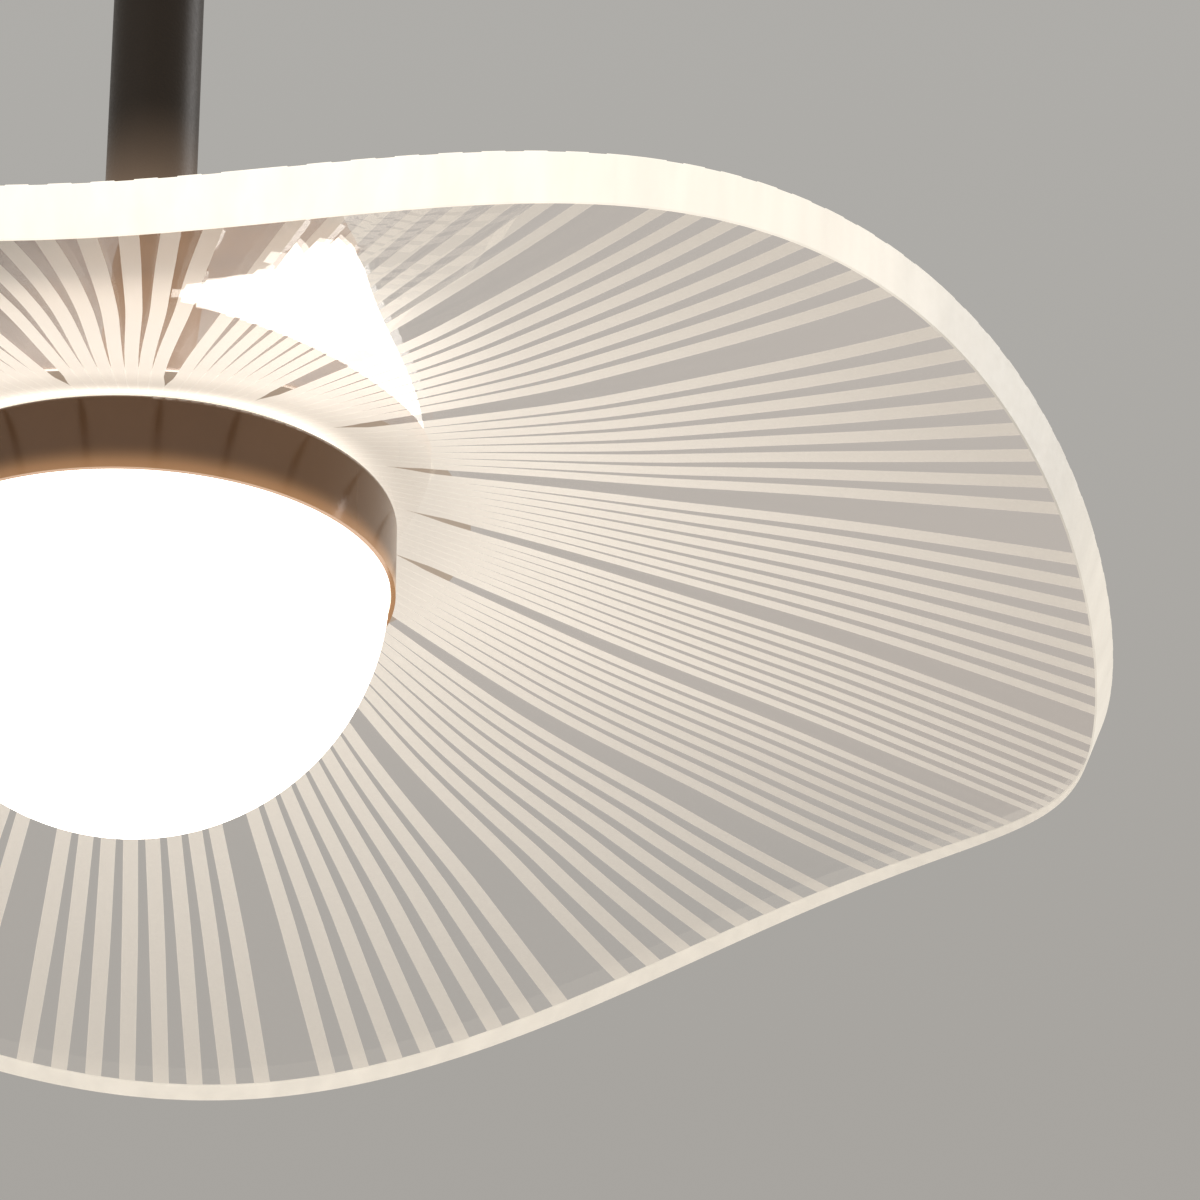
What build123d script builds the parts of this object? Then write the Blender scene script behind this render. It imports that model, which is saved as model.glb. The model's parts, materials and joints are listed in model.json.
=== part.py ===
from build123d import *
import os
from math import cos, sin, sqrt, radians, degrees

# LED pendant light: a wavy edge-lit acrylic shade on a slim drop rod, with a
# short drum housing and an opal dome lamp under its hub.
# All sizes in millimetres.  Z is up, the ceiling face is Z = 0, and the lamp
# hangs below it on the Z axis.

# Driving dimensions of the shade
SHADE_Z = -420.0        # underside of the flat hub zone of the shade
SHEET_RADIUS = 210.0    # the disc before it is heated and draped
SHEET_T = 10.0          # acrylic thickness
SHADE_BORE_R = 44.0     # central hole, lit from inside
FLAT_R = 49.0           # clamped flat zone ends here
SHADE_DROP = 39.0       # mean drop of the rim
WAVE = 12.9             # height of a crest over the mean rim
LOBES = 4               # waves round the rim
CREST_ANGLE = 37.9      # plan angle of one crest
WAVE_GROWTH = 2.05      # waves grow with this power of the distance out
KNEE = 0.025            # softness of the bend beside the clamped zone
BOW = 0.055             # extra fall beside the hub, given back at the rim

# Driving dimensions of the lamp head
HOUSING_R = 55.4
HOUSING_WALL = 1.0
HOUSING_BOTTOM = -18.1  # below the shade's underside
GASKET_T = 1.0
DECK_T = 1.5            # flat top of the housing
DOME_R = 54.1
DOME_CENTRE = -16.0     # the hemisphere's centre, just inside the housing
DOME_WALL = 2.0
CAP_R = 50.0
CAP_T = 1.5
CAP_TOP = 15.5

# Driving dimensions of the rod and its thread tubes
ROD_R = 10.0
ROD_WALL = 1.5
NIPPLE_R = 5.0
NIPPLE_BORE_R = 3.5
LEAD_R = 1.75
LEAD_CLEAR = 0.5

# Driving dimensions of the ceiling end
PLATE_R = 54.0
PLATE_T = 2.0
SLOT_SPACING = 70.0
SLOT_LENGTH = 14.0
SLOT_WIDTH = 5.0
CANOPY_R = 60.0
CANOPY_H = 40.0
CANOPY_WALL = 1.2
CANOPY_HOLE_R = 25.5
STUD_X = 48.0
STUD_R = 2.0
PIVOT_Z = -26.0         # tilt pin of the hang-straight swivel
BALL_R = 26.0
PIN_R = 2.0

# Fits, broken edges and small hardware
THREAD_GAP = 0.05       # radial gap of threads and pressed fits
RUN_GAP = 0.05          # gap of faces that turn on each other
YOKE_FIT = 0.08         # radial play of the yoke on its tube
SIDE_GAP = 0.3          # sideways play between knuckle and cheeks
EDGE = 0.4              # chamfer on turned, pressed and moulded edges
M3_R = 1.5
M3_HEAD_R = 2.8
M3_BEVEL = 0.7
TUBE_NUT_R = 7.0        # half of the width across flats
SCREW_R = 1.5           # grub screws
HEX_R = 0.75            # their hexagon sockets
GRUB_INSET = 0.1

os.makedirs("parts", exist_ok=True)


def radial_plane(angle, height):
    """A standing plane through the Z axis: local x runs outwards, local y up."""
    turn = radians(angle)
    return Plane(origin=(0, 0, height), x_dir=(cos(turn), sin(turn), 0), z_dir=(sin(turn), -cos(turn), 0))


def tube(outer_r, inner_r, low, high):
    """A plain ring on the Z axis between two heights."""
    with BuildPart() as ring:
        with BuildSketch(Plane.XY.offset(low)):
            Circle(outer_r)
            Circle(inner_r, mode=Mode.SUBTRACT)
        extrude(amount=high - low)
    return ring.part


# Ceiling end: what is screwed to the ceiling

# Round mounting plate with two slotted ceiling holes and a cable inlet
INLET = (24.0, -24.0)
INLET_R = 7.0
DRIVER_SIZE = (56.0, 24.0, 20.0)
DRIVER_Y = 37.0
DRIVER_SCREW_X = 24.0
BLOCK_SIZE = (30.0, 12.0, 13.0)
BLOCK_Y = -40.0
EARTH = (-26.0, -22.0)
STOP_PIN_RADIUS = 15.0
STOP_PIN_R = 1.25

with BuildPart() as mounting_plate:
    with BuildSketch(Plane.XY.offset(-PLATE_T)):
        Circle(PLATE_R)
        with GridLocations(SLOT_SPACING, 0, 2, 1):
            SlotOverall(SLOT_LENGTH, SLOT_WIDTH, mode=Mode.SUBTRACT)
        with GridLocations(2 * STUD_X, 0, 2, 1):
            Circle(STUD_R + THREAD_GAP, mode=Mode.SUBTRACT)
        Circle(NIPPLE_R + THREAD_GAP, mode=Mode.SUBTRACT)
        with Locations(INLET):
            Circle(INLET_R, mode=Mode.SUBTRACT)
        with Locations((0, STOP_PIN_RADIUS)):
            Circle(STOP_PIN_R + THREAD_GAP, mode=Mode.SUBTRACT)
    extrude(amount=PLATE_T)
    top_rim = mounting_plate.edges().filter_by(GeomType.CIRCLE).sort_by(SortBy.RADIUS)[-2:]
    chamfer(top_rim.sort_by(Axis.Z)[0], length=EDGE)
mounting_plate.part.label = "mounting_plate"
export_step(mounting_plate.part, "parts/mounting_plate.step")

# Two threaded studs that the canopy is pulled up on, and their lock nuts
STUD_REACH = 4.5        # studs stand out under the canopy
STUD_END = -CANOPY_H - STUD_REACH
STUD_NUT_H = 3.0
STUD_NUT_R = 3.5
with BuildPart() as canopy_studs:
    with BuildSketch(Plane.XY.offset(STUD_END)):
        with GridLocations(2 * STUD_X, 0, 2, 1):
            Circle(STUD_R)
    extrude(amount=-STUD_END)
    chamfer(canopy_studs.edges().group_by(Axis.Z)[0], length=EDGE)
canopy_studs.part.label = "canopy_studs"
export_step(canopy_studs.part, "parts/canopy_studs.step")

with BuildPart() as stud_nuts:
    with BuildSketch(Plane.XY.offset(-PLATE_T - STUD_NUT_H)):
        with GridLocations(2 * STUD_X, 0, 2, 1):
            RegularPolygon(STUD_NUT_R, 6, major_radius=False)
            Circle(STUD_R + THREAD_GAP, mode=Mode.SUBTRACT)
    extrude(amount=STUD_NUT_H)
stud_nuts.part.label = "stud_nuts"
export_step(stud_nuts.part, "parts/stud_nuts.step")

# Hollow threaded tube that the swivel turns on, with its lock nut,
# nylon washer and the flanged nut that carries the lamp
TUBE_END = -17.0
TUBE_TIP = 0.5          # bare thread under the lower nut
TUBE_NUT_H = 4.0
YOKE_TOP = -7.0
YOKE_BAR = 4.0
WASHER_R = 8.0
WASHER_T = 1.0
NUT_FLANGE_T = 1.2
SWIVEL_NUT_R = 6.5
FLANGE_TOP = YOKE_TOP - YOKE_BAR - RUN_GAP - WASHER_T

with BuildPart() as swivel_tube:
    add(tube(NIPPLE_R, NIPPLE_BORE_R, TUBE_END, 0))
    chamfer(swivel_tube.edges().group_by(Axis.Z)[0].sort_by(SortBy.RADIUS)[-1], length=EDGE)
swivel_tube.part.label = "swivel_tube"
export_step(swivel_tube.part, "parts/swivel_tube.step")

with BuildPart() as tube_lock_nut:
    with BuildSketch(Plane.XY.offset(-PLATE_T - TUBE_NUT_H)):
        RegularPolygon(TUBE_NUT_R, 6, major_radius=False)
        Circle(NIPPLE_R + THREAD_GAP, mode=Mode.SUBTRACT)
    extrude(amount=TUBE_NUT_H)
tube_lock_nut.part.label = "tube_lock_nut"
export_step(tube_lock_nut.part, "parts/tube_lock_nut.step")

with BuildPart() as swivel_washer:
    add(tube(WASHER_R, NIPPLE_R + THREAD_GAP, FLANGE_TOP, FLANGE_TOP + WASHER_T))
swivel_washer.part.label = "swivel_washer"
export_step(swivel_washer.part, "parts/swivel_washer.step")

with BuildPart() as swivel_nut:
    add(tube(WASHER_R, NIPPLE_R + THREAD_GAP, FLANGE_TOP - NUT_FLANGE_T, FLANGE_TOP))
    with BuildSketch(Plane.XY.offset(TUBE_END + TUBE_TIP)):
        RegularPolygon(SWIVEL_NUT_R, 6, major_radius=False)
        Circle(NIPPLE_R + THREAD_GAP, mode=Mode.SUBTRACT)
    extrude(amount=FLANGE_TOP - NUT_FLANGE_T - TUBE_END - TUBE_TIP)
swivel_nut.part.label = "swivel_nut"
export_step(swivel_nut.part, "parts/swivel_nut.step")

# Stop pin: the yoke's lug meets it after nearly a full turn
STOP_PIN_LOW = -10.0
with BuildPart() as stop_pin:
    with BuildSketch(Plane.XY.offset(STOP_PIN_LOW)):
        with Locations((0, STOP_PIN_RADIUS)):
            Circle(STOP_PIN_R)
    extrude(amount=-STOP_PIN_LOW)
stop_pin.part.label = "stop_pin"
export_step(stop_pin.part, "parts/stop_pin.step")

# Driver, a potted box held by two screws through its end feet
DRIVER_CORNER = 2.0
DRIVER_EDGE = 1.0
FOOT_T = 1.6
FOOT_REACH = 7.0
FOOT_WIDTH = 12.0
FOOT_Y = DRIVER_Y - 3.0
FOOT_HOLE_R = 1.6
with BuildPart() as led_driver:
    with BuildSketch(Plane.XY.offset(-PLATE_T - DRIVER_SIZE[2])):
        with Locations((0, DRIVER_Y)):
            RectangleRounded(DRIVER_SIZE[0] - 2 * FOOT_REACH, DRIVER_SIZE[1], DRIVER_CORNER)
    extrude(amount=DRIVER_SIZE[2])
    fillet(led_driver.edges().group_by(Axis.Z)[0], radius=DRIVER_EDGE)
    with BuildSketch(Plane.XY.offset(-PLATE_T - FOOT_T)):
        with Locations((0, FOOT_Y)):
            RectangleRounded(DRIVER_SIZE[0], FOOT_WIDTH, DRIVER_CORNER)
            with GridLocations(2 * DRIVER_SCREW_X, 0, 2, 1):
                Circle(FOOT_HOLE_R, mode=Mode.SUBTRACT)
    extrude(amount=FOOT_T)
led_driver.part.label = "led_driver"
export_step(led_driver.part, "parts/led_driver.step")

DRIVER_HEAD_H = 2.0
with BuildPart() as driver_screws:
    with BuildSketch(Plane.XY.offset(-PLATE_T - FOOT_T - DRIVER_HEAD_H)):
        with Locations((0, FOOT_Y)), GridLocations(2 * DRIVER_SCREW_X, 0, 2, 1):
            Circle(M3_HEAD_R)
    extrude(amount=DRIVER_HEAD_H)
    chamfer(driver_screws.edges().group_by(Axis.Z)[0], length=M3_BEVEL)
    with BuildSketch(Plane.XY.offset(-PLATE_T - FOOT_T)):
        with Locations((0, FOOT_Y)), GridLocations(2 * DRIVER_SCREW_X, 0, 2, 1):
            Circle(M3_R)
    extrude(amount=FOOT_T)
driver_screws.part.label = "driver_screws"
export_step(driver_screws.part, "parts/driver_screws.step")

# Three-way terminal block with its wire mouths and screw wells
WELL_PITCH = 9.0
WELL_R = 2.0
WELL_DEPTH = 4.0
MOUTH_R = 1.7
with BuildPart() as terminal_block:
    with BuildSketch(Plane.XY.offset(-PLATE_T - BLOCK_SIZE[2])):
        with Locations((0, BLOCK_Y)):
            Rectangle(BLOCK_SIZE[0], BLOCK_SIZE[1])
    extrude(amount=BLOCK_SIZE[2])
    with BuildSketch(Plane.XY.offset(-PLATE_T - BLOCK_SIZE[2])):
        with Locations((0, BLOCK_Y)), GridLocations(WELL_PITCH, 0, 3, 1):
            Circle(WELL_R)
    extrude(amount=WELL_DEPTH, mode=Mode.SUBTRACT)
    with BuildSketch(Plane.XZ.offset(-BLOCK_Y - BLOCK_SIZE[1] / 2)):
        with Locations((0, -PLATE_T - BLOCK_SIZE[2] / 2)), GridLocations(WELL_PITCH, 0, 3, 1):
            Circle(MOUTH_R)
    extrude(amount=WELL_DEPTH, mode=Mode.SUBTRACT)
terminal_block.part.label = "terminal_block"
export_step(terminal_block.part, "parts/terminal_block.step")

# Earth screw with its square clamp washer
EARTH_WASHER = 8.0
EARTH_WASHER_T = 1.0
EARTH_HEAD_R = 3.5
EARTH_HEAD_H = 2.6
with BuildPart() as earth_screw:
    with BuildSketch(Plane.XY.offset(-PLATE_T - EARTH_WASHER_T)):
        with Locations(EARTH):
            Rectangle(EARTH_WASHER, EARTH_WASHER)
    extrude(amount=EARTH_WASHER_T)
    with BuildSketch(Plane.XY.offset(-PLATE_T - EARTH_WASHER_T - EARTH_HEAD_H)):
        with Locations(EARTH):
            Circle(EARTH_HEAD_R)
    extrude(amount=EARTH_HEAD_H)
    chamfer(earth_screw.edges().group_by(Axis.Z)[0], length=M3_BEVEL)
earth_screw.part.label = "earth_screw"
export_step(earth_screw.part, "parts/earth_screw.step")

# Swivel: turns on the threaded tube and carries the tilt pin
CHEEK_IN = 8.6
CHEEK_T = 3.0
CHEEK_OUT = CHEEK_IN + CHEEK_T
CHEEK_Y = 6.0
CHEEK_ROUND = 5.9
YOKE_CORNER = 2.0
YOKE_HUB_R = 10.0
STOP_LUG = (3.0, STOP_PIN_RADIUS + 1.0)
with BuildPart() as swivel_yoke:
    with BuildSketch(Plane.XZ.offset(-CHEEK_Y)):
        with BuildLine():
            Polyline(
                (-CHEEK_OUT, YOKE_TOP),
                (CHEEK_OUT, YOKE_TOP),
                (CHEEK_OUT, PIVOT_Z - CHEEK_Y),
                (CHEEK_IN, PIVOT_Z - CHEEK_Y),
                (CHEEK_IN, YOKE_TOP - YOKE_BAR),
                (-CHEEK_IN, YOKE_TOP - YOKE_BAR),
                (-CHEEK_IN, PIVOT_Z - CHEEK_Y),
                (-CHEEK_OUT, PIVOT_Z - CHEEK_Y),
                close=True,
            )
        make_face()
    extrude(amount=2 * CHEEK_Y)
    fillet(swivel_yoke.edges().filter_by(Axis.X).group_by(Axis.Z)[0], radius=CHEEK_ROUND)
    fillet(swivel_yoke.edges().filter_by(Axis.Y).group_by(Axis.Z)[-1], radius=YOKE_CORNER)
    with BuildSketch(Plane.XY.offset(YOKE_TOP - YOKE_BAR)):
        Circle(YOKE_HUB_R)
        with Locations((0, -STOP_LUG[1] / 2)):
            Rectangle(*STOP_LUG)
    extrude(amount=YOKE_BAR)
    with BuildSketch(Plane.XY.offset(YOKE_TOP - YOKE_BAR)):
        Circle(NIPPLE_R + YOKE_FIT)
    extrude(amount=YOKE_BAR, mode=Mode.SUBTRACT)
    with BuildSketch(Plane.YZ.offset(-CHEEK_OUT)):
        with Locations((0, PIVOT_Z)):
            Circle(PIN_R)
    extrude(amount=2 * CHEEK_OUT, mode=Mode.SUBTRACT)
swivel_yoke.part.label = "swivel_yoke"
export_step(swivel_yoke.part, "parts/swivel_yoke.step")

# Tilt pin with a clip in a groove at each end
PIN_END = CHEEK_OUT + 2.4
GROOVE_R = 1.5
GROOVE_W = 0.8
CLIP_X = CHEEK_OUT + 0.6
CLIP_T = 0.7
CLIP_R = 3.8
CLIP_MOUTH = 5.0
with BuildPart() as swivel_pin:
    with BuildSketch(Plane.YZ.offset(-PIN_END)):
        with Locations((0, PIVOT_Z)):
            Circle(PIN_R)
    extrude(amount=2 * PIN_END)
    for side in (-1, 1):
        with BuildSketch(Plane.YZ.offset(side * CLIP_X - GROOVE_W / 2)):
            with Locations((0, PIVOT_Z)):
                Circle(PIN_R)
                Circle(GROOVE_R, mode=Mode.SUBTRACT)
        extrude(amount=GROOVE_W, mode=Mode.SUBTRACT)
swivel_pin.part.label = "swivel_pin"
export_step(swivel_pin.part, "parts/swivel_pin.step")

with BuildPart() as pin_clips:
    for side in (-1, 1):
        with BuildSketch(Plane.YZ.offset(side * CLIP_X - CLIP_T / 2)):
            with Locations((0, PIVOT_Z)):
                Circle(CLIP_R)
                Circle(GROOVE_R, mode=Mode.SUBTRACT)
            with Locations((0, PIVOT_Z - CLIP_MOUTH / 2)):
                Rectangle(2 * GROOVE_R, CLIP_MOUTH, mode=Mode.SUBTRACT)
        extrude(amount=CLIP_T)
pin_clips.part.label = "pin_clips"
export_step(pin_clips.part, "parts/pin_clips.step")

# Forked top of the rod, hung on the tilt pin, with a side hole for the lead
KNUCKLE_H = 10.0
ROD_TOP = PIVOT_Z - KNUCKLE_H
KNUCKLE_X = CHEEK_IN - SIDE_GAP
SHOULDER_T = 3.0
SHOULDER_TOP = ROD_TOP + SHOULDER_T
FORK_IN = 5.0
FORK_Y = 5.0
LEAD_Y = 4.6
SPIGOT = 12.0
ROD_BORE_R = ROD_R - ROD_WALL
with BuildPart() as swivel_knuckle:
    with BuildSketch(Plane.XY.offset(ROD_TOP - SPIGOT)):
        Circle(ROD_BORE_R - THREAD_GAP)
    extrude(amount=SPIGOT)
    with BuildSketch(Plane.XY.offset(ROD_TOP)):
        Circle(ROD_R)
    extrude(amount=SHOULDER_T)
    with BuildSketch(Plane.YZ.offset(-KNUCKLE_X)):
        with BuildLine():
            Line((-FORK_Y, SHOULDER_TOP), (FORK_Y, SHOULDER_TOP))
            Line((FORK_Y, SHOULDER_TOP), (FORK_Y, PIVOT_Z))
            ThreePointArc((FORK_Y, PIVOT_Z), (0, PIVOT_Z + FORK_Y), (-FORK_Y, PIVOT_Z))
            Line((-FORK_Y, PIVOT_Z), (-FORK_Y, SHOULDER_TOP))
        make_face()
        with Locations((0, PIVOT_Z)):
            Circle(PIN_R + RUN_GAP, mode=Mode.SUBTRACT)
    extrude(amount=2 * KNUCKLE_X)
    with BuildSketch(Plane.XY.offset(SHOULDER_TOP)):
        Rectangle(2 * FORK_IN, 4 * FORK_Y)
    extrude(amount=2 * KNUCKLE_H, mode=Mode.SUBTRACT)
    with BuildSketch(Plane.XY.offset(ROD_TOP - SPIGOT)):
        with Locations((0, LEAD_Y)):
            Circle(LEAD_R + LEAD_CLEAR)
    extrude(amount=SPIGOT + SHOULDER_T, mode=Mode.SUBTRACT)
swivel_knuckle.part.label = "swivel_knuckle"
export_step(swivel_knuckle.part, "parts/swivel_knuckle.step")

# Drop rod
FOOT_LOW = SHADE_Z + CAP_TOP
FOOT_FLANGE = 4.0
ROD_LOW = FOOT_LOW + FOOT_FLANGE
SCREW_Z = ROD_TOP - 7.0
with BuildPart() as drop_rod:
    add(tube(ROD_R, ROD_BORE_R, ROD_LOW, ROD_TOP))
    with BuildSketch(Plane.YZ.offset(-ROD_R)):
        with Locations((0, SCREW_Z)):
            Circle(SCREW_R)
    extrude(amount=2 * ROD_R, mode=Mode.SUBTRACT)
drop_rod.part.label = "drop_rod"
export_step(drop_rod.part, "parts/drop_rod.step")

# Grub screws that hold the knuckle in the rod
with BuildPart() as rod_grub_screws:
    for side in (-1, 1):
        with BuildSketch(Plane.YZ.offset(side * (ROD_R - ROD_WALL / 2) - ROD_WALL / 2 + GRUB_INSET)):
            with Locations((0, SCREW_Z)):
                Circle(SCREW_R - THREAD_GAP)
                RegularPolygon(HEX_R, 6, major_radius=False, mode=Mode.SUBTRACT)
        extrude(amount=ROD_WALL - 2 * GRUB_INSET)
rod_grub_screws.part.label = "rod_grub_screws"
export_step(rod_grub_screws.part, "parts/rod_grub_screws.step")

# Ball cover that fills the canopy's hole while the rod hangs plumb
BALL_WALL = 1.2
BALL_TOP = PIVOT_Z - 8.0
COLLAR_R = 12.5
COLLAR_H = 9.0
COLLAR_BORE_H = 14.0
COLLAR_EDGE = 1.0
COLLAR_LOW = PIVOT_Z - BALL_R - 6.0
COLLAR_SCREW_Z = COLLAR_LOW + 3.0
COLLAR_SCREW_L = 2.2
with BuildPart() as ball_cover:
    with BuildSketch(Plane.XZ):
        with Locations((0, PIVOT_Z)):
            Circle(BALL_R)
            Circle(BALL_R - BALL_WALL, mode=Mode.SUBTRACT)
        with Locations((-BALL_R, PIVOT_Z)):
            Rectangle(2 * BALL_R, 3 * BALL_R, mode=Mode.SUBTRACT)
        with Locations((0, BALL_TOP)):
            Rectangle(4 * BALL_R, 3 * BALL_R, align=(Align.CENTER, Align.MIN), mode=Mode.SUBTRACT)
        with Locations((0, COLLAR_LOW)):
            Rectangle(COLLAR_R, COLLAR_H, align=(Align.MIN, Align.MIN))
            Rectangle(
                ROD_R + THREAD_GAP, COLLAR_BORE_H, align=(Align.MIN, Align.MIN), mode=Mode.SUBTRACT
            )
    revolve(axis=Axis.Z)
    fillet(ball_cover.edges().group_by(Axis.Z)[0].sort_by(SortBy.RADIUS)[-1], radius=COLLAR_EDGE)
    with BuildSketch(Plane.XZ.offset(ROD_BORE_R)):
        with Locations((0, COLLAR_SCREW_Z)):
            Circle(SCREW_R)
    extrude(amount=COLLAR_R, mode=Mode.SUBTRACT)
ball_cover.part.label = "ball_cover"
export_step(ball_cover.part, "parts/ball_cover.step")

with BuildPart() as collar_screw:
    with BuildSketch(Plane.XZ.offset(ROD_R + GRUB_INSET)):
        with Locations((0, COLLAR_SCREW_Z)):
            Circle(SCREW_R - THREAD_GAP)
            RegularPolygon(HEX_R, 6, major_radius=False, mode=Mode.SUBTRACT)
    extrude(amount=COLLAR_SCREW_L)
collar_screw.part.label = "collar_screw"
export_step(collar_screw.part, "parts/collar_screw.step")

# Canopy: a spun cup that hides the ceiling end, and its two cap nuts
CANOPY_EDGE = 5.0
STUD_CLEAR = 0.3
with BuildPart() as canopy:
    with BuildSketch(Plane.XY.offset(-CANOPY_H)):
        Circle(CANOPY_R)
    extrude(amount=CANOPY_H)
    fillet(canopy.edges().group_by(Axis.Z)[0], radius=CANOPY_EDGE)
    offset(amount=-CANOPY_WALL, openings=canopy.faces().sort_by(Axis.Z)[-1])
    with BuildSketch(Plane.XY.offset(-CANOPY_H)):
        Circle(CANOPY_HOLE_R)
        with GridLocations(2 * STUD_X, 0, 2, 1):
            Circle(STUD_R + STUD_CLEAR)
    extrude(amount=CANOPY_WALL, mode=Mode.SUBTRACT)
canopy.part.label = "canopy"
export_step(canopy.part, "parts/canopy.step")

CAP_NUT_R = 4.0
CAP_NUT_HEX_H = 3.0
CAP_NUT_DOME_R = 3.6
CAP_NUT_DOME_H = 4.0
CAP_NUT_ROUND = 3.0
STUD_TIP_ROOM = 0.5
with BuildPart() as canopy_cap_nuts:
    with BuildSketch(Plane.XY.offset(-CANOPY_H - CAP_NUT_HEX_H)):
        with GridLocations(2 * STUD_X, 0, 2, 1):
            RegularPolygon(CAP_NUT_R, 6, major_radius=False)
    extrude(amount=CAP_NUT_HEX_H)
    with BuildSketch(Plane.XY.offset(-CANOPY_H - CAP_NUT_HEX_H - CAP_NUT_DOME_H)):
        with GridLocations(2 * STUD_X, 0, 2, 1):
            Circle(CAP_NUT_DOME_R)
    extrude(amount=CAP_NUT_DOME_H)
    fillet(canopy_cap_nuts.edges().group_by(Axis.Z)[0], radius=CAP_NUT_ROUND)
    with BuildSketch(Plane.XY.offset(STUD_END - STUD_TIP_ROOM)):
        with GridLocations(2 * STUD_X, 0, 2, 1):
            Circle(STUD_R + THREAD_GAP)
    extrude(amount=STUD_REACH + STUD_TIP_ROOM, mode=Mode.SUBTRACT)
canopy_cap_nuts.part.label = "canopy_cap_nuts"
export_step(canopy_cap_nuts.part, "parts/canopy_cap_nuts.step")


# Lamp head: foot of the rod, clamped shade, light sources and housing

# Threaded foot pressed into the rod, resting on the top cap
FOOT_R = 14.0
FOOT_EDGE = 1.5
FOOT_SPIGOT = 15.0
FOOT_THREAD = 12.0
THREAD_END_GAP = 0.2
with BuildPart() as rod_foot:
    with BuildSketch(Plane.XY.offset(FOOT_LOW)):
        Circle(FOOT_R)
    extrude(amount=FOOT_FLANGE)
    fillet(rod_foot.edges().group_by(Axis.Z)[-1], radius=FOOT_EDGE)
    with BuildSketch(Plane.XY.offset(ROD_LOW)):
        Circle(ROD_BORE_R - THREAD_GAP)
    extrude(amount=FOOT_SPIGOT)
    with BuildSketch(Plane.XY.offset(FOOT_LOW)):
        Circle(NIPPLE_R + THREAD_GAP)
    extrude(amount=FOOT_THREAD, mode=Mode.SUBTRACT)
    with BuildSketch(Plane.XY.offset(FOOT_LOW)):
        Circle(NIPPLE_BORE_R)
    extrude(amount=FOOT_FLANGE + FOOT_SPIGOT, mode=Mode.SUBTRACT)
rod_foot.part.label = "rod_foot"
export_step(rod_foot.part, "parts/rod_foot.step")

# Threaded tube that clamps the head together under the rod
HEAD_TUBE_LOW = SHADE_Z - 9.5
with BuildPart() as head_tube:
    add(tube(NIPPLE_R, NIPPLE_BORE_R, HEAD_TUBE_LOW, FOOT_LOW + FOOT_THREAD - THREAD_END_GAP))
head_tube.part.label = "head_tube"
export_step(head_tube.part, "parts/head_tube.step")

# Spun cap over the clamped zone of the shade
CAP_LOW = SHEET_T + GASKET_T
CAP_EDGE = 2.5
with BuildPart() as top_cap:
    with BuildSketch(Plane.XY.offset(SHADE_Z + CAP_LOW)):
        Circle(CAP_R)
    extrude(amount=CAP_TOP - CAP_LOW)
    fillet(top_cap.edges().group_by(Axis.Z)[-1], radius=CAP_EDGE)
    offset(amount=-CAP_T, openings=top_cap.faces().sort_by(Axis.Z)[0])
    with BuildSketch(Plane.XY.offset(SHADE_Z + CAP_LOW)):
        Circle(NIPPLE_R + THREAD_GAP)
    extrude(amount=CAP_TOP - CAP_LOW, mode=Mode.SUBTRACT)
top_cap.part.label = "top_cap"
export_step(top_cap.part, "parts/top_cap.step")

# Soft rings either side of the acrylic
GASKET_IN = SHADE_BORE_R + 0.5
GASKET_LIFT = 0.05
with BuildPart() as upper_gasket:
    add(tube(FLAT_R, GASKET_IN, SHADE_Z + SHEET_T + GASKET_LIFT, SHADE_Z + CAP_LOW))
upper_gasket.part.label = "upper_gasket"
export_step(upper_gasket.part, "parts/upper_gasket.step")

with BuildPart() as lower_gasket:
    add(tube(FLAT_R, GASKET_IN, SHADE_Z - GASKET_T, SHADE_Z))
lower_gasket.part.label = "lower_gasket"
export_step(lower_gasket.part, "parts/lower_gasket.step")


PROBE = 0.05                    # small step that slopes are taken over
BEND_STATIONS = (0.0, 6.0, 16.0)  # closer stations beside the clamped zone
SPOKE_STEPS = 6                 # even stations along the rest of a spoke


# Shade: a flat acrylic disc heated and draped into a shallow cone whose rim
# rises and falls in even waves.  Every spoke keeps its flat length, so the
# plan radius shrinks where the rim drops furthest.
def rim_height(angle):
    return -SHADE_DROP + WAVE * cos(LOBES * radians(angle - CREST_ANGLE))


def rim_radius(angle):
    return FLAT_R + sqrt((SHEET_RADIUS - FLAT_R) ** 2 - rim_height(angle) ** 2)


def underside(radius, angle):
    """Height of the sheet's underside over the hub plane."""
    t = max(0.0, (radius - FLAT_R) / (rim_radius(angle) - FLAT_R))
    cone = (sqrt(t * t + KNEE * KNEE) - KNEE) / (sqrt(1 + KNEE * KNEE) - KNEE)
    fall = (1 + BOW) * cone - BOW * t * t
    wave = cos(LOBES * radians(angle - CREST_ANGLE)) * t ** WAVE_GROWTH
    return -SHADE_DROP * fall + WAVE * wave


def slopes(radius, angle):
    """Rise of the underside per millimetre outwards and round."""
    outwards = (underside(radius + PROBE, angle) - underside(radius - PROBE, angle)) / (2 * PROBE)
    turn = degrees(PROBE / radius)
    around = (underside(radius, angle + turn) - underside(radius, angle - turn)) / (2 * PROBE)
    return outwards, around


def spoke_profile(angle):
    """Section of the sheet along one spoke, of even thickness square to it."""
    rim = rim_radius(angle)
    stations = [FLAT_R + reach for reach in BEND_STATIONS]
    stations += [FLAT_R + (rim - FLAT_R) * k / SPOKE_STEPS for k in range(2, SPOKE_STEPS + 1)]
    low = [(r, underside(r, angle)) for r in stations]
    high = []
    for r, z in low:
        outwards, around = slopes(r, angle)
        stretch = sqrt(1 + outwards ** 2 + around ** 2)
        lean = -outwards / sqrt(1 + outwards ** 2)
        rise = SHEET_T * stretch / sqrt(1 + outwards ** 2)
        high.append((r + rise * lean, z + rise / sqrt(1 + outwards ** 2)))
    return low, high


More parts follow.
